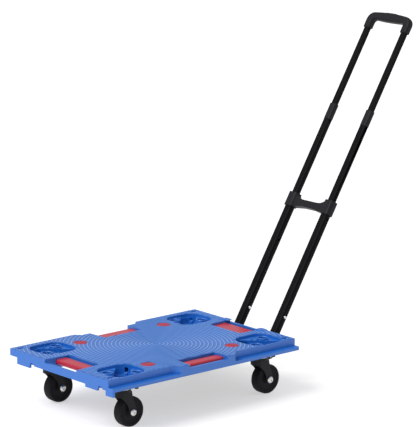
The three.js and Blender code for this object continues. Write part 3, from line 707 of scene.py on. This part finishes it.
def axle_nut():
    """Locking nut: a chamfered hexagon with a rounded collar."""
    seat, at = AXLE_SEAT, WHEEL_MIDDLE
    nut = cylinder(7.5, seat, seat + 3.8, "Y", at, 6)
    chamfer = [(0, seat - 1), (7.0, seat - 1), (7.6, seat + 0.6), (7.6, seat + 3.0), (6.6, seat + 4.4),
               (0, seat + 4.4)]
    boolean(nut, spun(chamfer, 48, centre=at), "INTERSECT")
    collar = [(4.2, seat + 3), (6.0, seat + 3), (6.0, seat + 4.2), (5.4, seat + 5.0), (4.2, seat + 5.0)]
    collar = spun(collar, 40, centre=at)
    without(nut, cylinder(4.2, seat - 1, seat + 6, "Y", at, 32))
    return together(nut, collar)


def hex_screw(x, y, under):
    """Flange screw hanging head down."""
    head = cylinder(5.6, under - 5.2, under - 1.0, at=(x, y, 0), sides=6)
    dome = [(0, under - 5.3), (4.4, under - 5.3), (5.7, under - 4.3), (5.7, under), (0, under)]
    boolean(head, spun(dome, 32, (0, 0, 1), (x, y, 0)), "INTERSECT")
    washer = [(0, under - 1.5), (5.2, under - 1.5), (6.5, under - 0.7), (6.5, under + 0.2),
              (0, under + 0.2)]
    return together(head, spun(washer, 32, (0, 0, 1), (x, y, 0)))


def castor_plate():
    length, width, thick = PLATE
    plate = slab(rounded(length, width, 6), -thick - 0.3, -0.3)
    edges_rounded(plate, 0.5)
    pressing = spun([(0, -thick - 0.5), (27, -thick - 0.4), (25.5, -thick - 1.0), (23.6, -thick - 1.0),
                     (23, -thick + 0.5), (0, -thick + 0.5)], 48, (0, 0, 1))
    return together(plate, pressing)


def castor_screws():
    under = -PLATE[2] - 0.4
    return together(*[hex_screw(x * BOLTS[0], y * BOLTS[1], under) for x in (-1, 1) for y in (-1, 1)])


CASTOR_PIECES = {  # pattern, body, material slot
    "plate": (castor_plate(), "platform", "castor_steel"),
    "screws": (castor_screws(), "platform", "castor_steel"),
    "tyre": (wheel_tyre(), "castor_wheel_{}", "tyre"),
    "hub": (wheel_centre(), "castor_wheel_{}", "wheel_centre"),
    "axle": (axle_bolt(), "castor_swivel_{}", "zinc"),
    "nut": (axle_nut(), "castor_swivel_{}", "zinc"),
}


def fork(corner):
    """The fork's pressed shell, with a pressed ring round each axle hole."""
    shell = edges_rounded(from_cad(f"castor_fork_{corner}"), 0.8, 2)
    x, y = CORNERS[corner]
    at = (x * CASTOR_PLACE[0] + TRAIL, y * CASTOR_PLACE[1], MOUNT - AXLE_DROP)
    foot, crest = LEG_OUTER - 0.6, LEG_OUTER + 0.25
    rings = [spun([(8.4, side * foot), (11.2, side * foot), (10.6, side * crest), (9.0, side * crest)],
                  40, centre=at) for side in (-1, 1)]
    return together(shell, *rings)


for corner, (x, y) in CORNERS.items():
    seat = Matrix.Translation(mm(x * CASTOR_PLACE[0], y * CASTOR_PLACE[1], MOUNT))
    for part, (pattern, body, slot) in CASTOR_PIECES.items():
        replaced = [] if part == "screws" else [f"castor_{part}_{corner}"]
        placed(moved(copied(pattern), seat), f"{part}_piece_{corner}", body.format(corner), slot, replaced)
    placed(fork(corner), f"fork_shell_{corner}", f"castor_swivel_{corner}", "castor_steel",
           [f"castor_fork_{corner}"])
for pattern, _, _ in CASTOR_PIECES.values():
    bpy.data.objects.remove(pattern)


# ---------------------------------------------------------------- handle

# Places here are measured along the handle from its pivot, as it stands at rest.

HANDLE = Matrix.Translation(PIVOT * MM) @ Matrix.Rotation(LEAN, 4, "Y")
STAGES = {"outer_tube": "handle_lower", "middle_tube": "handle_middle", "inner_tube": "handle_upper"}
TRIM = {"knee": "handle_lower", "collar": "handle_middle", "middle_guide": "handle_middle",
        "inner_guide": "handle_upper"}
OUTER_TUBE_HALF, RIVET_PLACE = 12.55, 100
RIVET_PROFILE = [(0, -4.6), (2.0, -4.6), (2.0, 0), (4.0, 0), (3.8, 0.8), (3.1, 1.5), (1.9, 1.95), (0, 2.1)]

for side, y in SIDES.items():
    for part, body in STAGES.items():
        tube = from_cad(f"handle_{part}_{side}")
        edges_rounded(tube, 0.25, 1, 50)
        placed(tube, f"drawn_{part}_{side}", body, "handle_tube", [f"handle_{part}_{side}"], 40)
    for part, body in TRIM.items():
        trim = edges_rounded(from_cad(f"handle_{part}_{side}"), 0.7, 2)
        placed(trim, f"moulded_{part}_{side}", body, "handle_plastic", [f"handle_{part}_{side}"])
    rivet = spun(RIVET_PROFILE, 32, (0, 0, 1))
    seat = Matrix.Translation(mm(0, y * TUBE_Y - OUTER_TUBE_HALF, RIVET_PLACE))
    moved(rivet, HANDLE @ seat @ Matrix.Rotation(math.pi / 2, 4, "X"))
    placed(rivet, f"pop_rivet_{side}", "handle_lower", "zinc", [f"handle_rivet_{side}"])

yoke = edges_rounded(from_cad("handle_yoke"), 1.8, 3, 40)
placed(yoke, "moulded_yoke", "handle_lower", "handle_plastic", ["handle_yoke"])


GRIP_SLEEVE = 11.25         # half the width of the handgrip's legs
GRIP_START, GRIP_SHOULDER = 903, 948
GRIP_BAR, GRIP_HALF = 20, 9.5
INNER_BEND, OUTER_BEND = 8, 23
BUTTON_LOW, BUTTON_TOP, BUTTON_POCKET = 943.8, 951.8, 940.7


def handgrip():
    """A rounded U that thickens towards the middle of its bar."""
    half, inner = TUBE_Y + GRIP_SLEEVE, TUBE_Y - GRIP_SLEEVE
    under = GRIP_SHOULDER - GRIP_BAR
    ins, outs = inner - INNER_BEND, half - OUTER_BEND
    parts = [i / 10 for i in range(1, 10)]
    points = [(-half, GRIP_START), (-inner, GRIP_START)]
    points += arc(-ins, under - INNER_BEND, INNER_BEND, 180, 90, 6)
    points += [(-ins + 2 * ins * t, under - 1.4 * math.sin(math.pi * t)) for t in parts]
    points += arc(ins, under - INNER_BEND, INNER_BEND, 90, 0, 6)
    points += [(inner, GRIP_START), (half, GRIP_START)]
    points += arc(outs, GRIP_SHOULDER - OUTER_BEND, OUTER_BEND, 0, 90, 10)
    points += [(outs - 2 * outs * t, GRIP_SHOULDER + 12 * t * (1 - t)) for t in parts]
    points += arc(-outs, GRIP_SHOULDER - OUTER_BEND, OUTER_BEND, 90, 180, 10)
    grip = outlined([(-GRIP_HALF, y, z) for y, z in points], (2 * GRIP_HALF, 0, 0))
    edit(grip)
    pick(grip, lambda e: abs(e.verts[0].co.x - e.verts[1].co.x) < 1e-6, "EDGE")
    bpy.ops.mesh.bevel(offset=5.5 * MM, segments=5, affect="EDGES", clamp_overlap=True)
    bpy.ops.mesh.select_all(action="SELECT")
    bpy.ops.mesh.remove_doubles(threshold=0.02 * MM)
    done()
    for y in (-TUBE_Y, TUBE_Y):
        socket = rounded(INNER_TUBE[0] + 0.6, INNER_TUBE[1] + 0.6, 2.2)
        without(grip, slab(socket, GRIP_START - 5, GRIP_START + 25, (0, y)))
    without(grip, box((-6.3, 6.3), (-18.3, 18.3), (BUTTON_POCKET, 960)))
    return moved(grip, HANDLE)


def release_button():
    """A soft-edged cap with a shallow dish in its top."""
    cap = box((-6, 6), (-18, 18), (BUTTON_LOW, BUTTON_TOP))
    edit(cap)
    pick(cap, lambda f: f.normal.z > 0.9, "FACE")
    bpy.ops.mesh.inset(thickness=2.2 * MM)
    bpy.ops.transform.translate(value=mm(0, 0, -0.5))
    done()
    edges_rounded(cap, 1.2, 3)
    return moved(cap, HANDLE)


placed(handgrip(), "moulded_handgrip", "handle_upper", "handle_plastic", ["handle_grip"])
placed(release_button(), "button_cap", "release_button", "handle_plastic", ["handle_release_button"])

bracket = edges_rounded(from_cad("handle_bracket"), 0.6, 2)
placed(bracket, "pressed_bracket", "platform", "castor_steel", ["handle_bracket"])


def pivot_bolt():
    """One long bolt across the bracket, with a domed head and a hexagon socket."""
    seat = 83.6
    profile = [(0, -seat - 6), (6.4, -seat - 6), (7.8, -seat - 5.2), (8.8, -seat - 3), (9, -seat - 1),
               (9, -seat), (5, -seat), (5, seat + 6.6), (4.2, seat + 8), (0, seat + 8)]
    bolt = spun(profile, 48, centre=tuple(PIVOT))
    return without(bolt, cylinder(3.5, -seat - 8, -seat - 3, "Y", tuple(PIVOT), 6))


placed(pivot_bolt(), "turned_pivot_bolt", "platform", "zinc", ["handle_pivot_bolt"])
nut = edges_rounded(from_cad("handle_pivot_nut"), 0.8, 2)
placed(nut, "chamfered_pivot_nut", "platform", "zinc", ["handle_pivot_nut"])

slots = {part["node"]: part["material_slot"] for part in frame["record"]["subparts"]}
for name, node in frame["nodes"].items():
    node.data.materials.clear()
    node.data.materials.append(FINISHES[slots[name]])


# ---------------------------------------------------------------- studio

bpy.ops.mesh.primitive_plane_add(size=60, location=(0, 0, FLOOR_LEVEL * MM))
floor = settle(bpy.context.object)
floor.name = "studio_floor"
floor.data.materials.append(pale_floor())


def aimed(place, target):
    return (Vector(target) - Vector(place)).to_track_quat("-Z", "Y").to_euler()


def soft_light(name, place, power, spread):
    """A far, wide light, so that the floor is lit evenly all over."""
    bpy.ops.object.light_add(type="SUN", location=place, rotation=aimed(place, (0, 0, 0)))
    light = bpy.context.object
    light.name = name
    light.data.energy, light.data.angle = power, math.radians(spread)


soft_light("key", (-6.2, 1.0, 7.8), 2.35, 36)

world = bpy.data.worlds.new("studio")
bpy.context.scene.world = world
world.use_nodes = True
sky = world.node_tree.nodes["Background"].inputs
sky["Color"].default_value = (1, 1, 1, 1)
sky["Strength"].default_value = 0.66
bpy.context.scene.view_settings.view_transform = "Standard"

azimuth, elevation, roll = (math.radians(angle) for angle in (-41.235, 12.401, 0.329))
bpy.ops.object.camera_add(location=mm(-4164.8, -4946.0, 1752.7))
camera = bpy.context.object
level = Euler((math.pi / 2 - elevation, 0, azimuth)).to_matrix()
camera.rotation_euler = (level @ Matrix.Rotation(roll, 3, "Z")).to_euler()
camera.data.sensor_width = 36
camera.data.lens = 227.97
camera.data.clip_end = 100
bpy.context.scene.camera = camera
